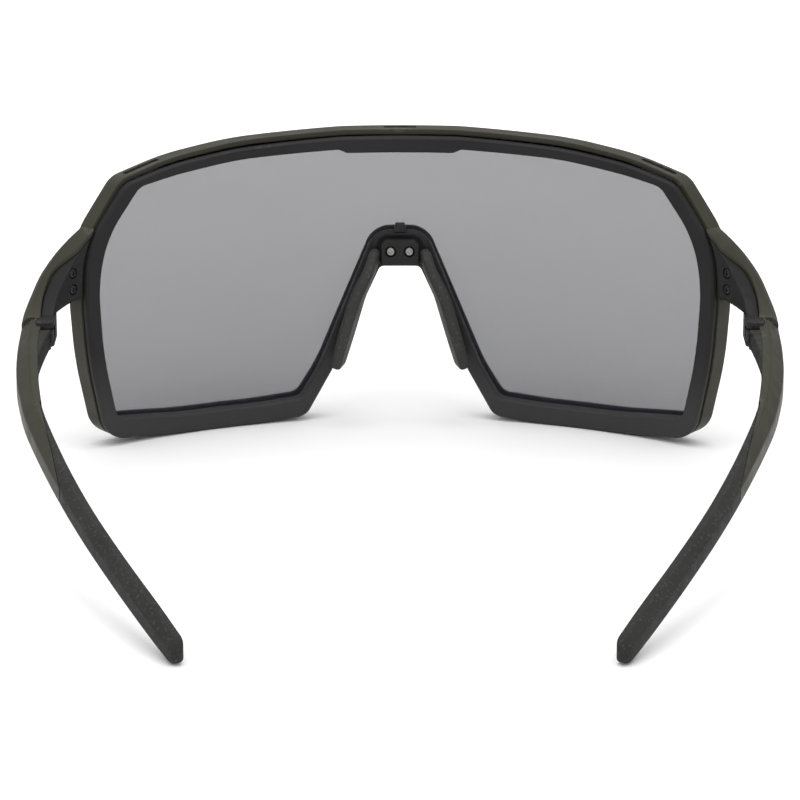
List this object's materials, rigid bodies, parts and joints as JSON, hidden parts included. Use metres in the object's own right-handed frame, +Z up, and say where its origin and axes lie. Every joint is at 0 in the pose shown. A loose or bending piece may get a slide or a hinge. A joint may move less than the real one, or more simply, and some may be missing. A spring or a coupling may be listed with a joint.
{
  "type": "sunglasses",
  "caption": "Wraparound sport sunglasses with a one-piece shield lens in a full rim, bendable nose pads and folding temples with rubber tips.",
  "frame": {"origin": "middle of the object's bounding box, on the surface it stands on", "axes": "+Z up; the glasses look along -Y and the temples run back along +Y; +X is the wearer's left"},
  "size_m": [0.147, 0.1504, 0.0601],
  "materials": {
    "frame_olive": "satin",
    "rim_black": "satin",
    "lens_grey": "polished, tinted and see-through",
    "pad_rubber": "matte",
    "tip_rubber": "matte",
    "screw_steel": "bright"
  },
  "bodies": {
    "front": {"outer_frame": "frame_olive", "inner_rim": "rim_black", "shield_lens": "lens_grey", "nose_bracket": "rim_black", "nose_screw_left": "screw_steel", "end_piece_left": "frame_olive", "hinge_carrier_left": "rim_black", "end_screw_upper_left": "screw_steel", "end_screw_lower_left": "screw_steel", "hinge_pin_left": "screw_steel", "nose_screw_right": "screw_steel", "end_piece_right": "frame_olive", "hinge_carrier_right": "rim_black", "end_screw_upper_right": "screw_steel", "end_screw_lower_right": "screw_steel", "hinge_pin_right": "screw_steel"},
    "temple_left": {"temple_arm_left": "frame_olive", "temple_tip_left": "tip_rubber", "temple_insert_left": "rim_black"},
    "temple_right": {"temple_arm_right": "frame_olive", "temple_tip_right": "tip_rubber", "temple_insert_right": "rim_black"},
    "nose_pad_left": {"nose_pad_left": "pad_rubber", "nose_wire_left": "screw_steel"},
    "nose_pad_right": {"nose_pad_right": "pad_rubber", "nose_wire_right": "screw_steel"}
  },
  "joints": [
    {"name": "temple_hinge_left", "type": "hinge", "parent": "front", "child": "temple_left", "pos_m": [0.0687, -0.0326, 0.02865], "axis": [0, 0, 1], "range_deg": [0, 84]},
    {"name": "temple_hinge_right", "type": "hinge", "parent": "front", "child": "temple_right", "pos_m": [-0.0687, -0.0326, 0.02865], "axis": [0, 0, -1], "range_deg": [0, 77]},
    {"name": "nose_pad_bend_left", "type": "hinge", "parent": "front", "child": "nose_pad_left", "pos_m": [0.0038, -0.06775, 0.03375], "axis": [0, 1, 0], "range_deg": [-6, 6]},
    {"name": "nose_pad_bend_right", "type": "hinge", "parent": "front", "child": "nose_pad_right", "pos_m": [-0.0038, -0.06775, 0.03375], "axis": [0, -1, 0], "range_deg": [-6, 6]}
  ]
}
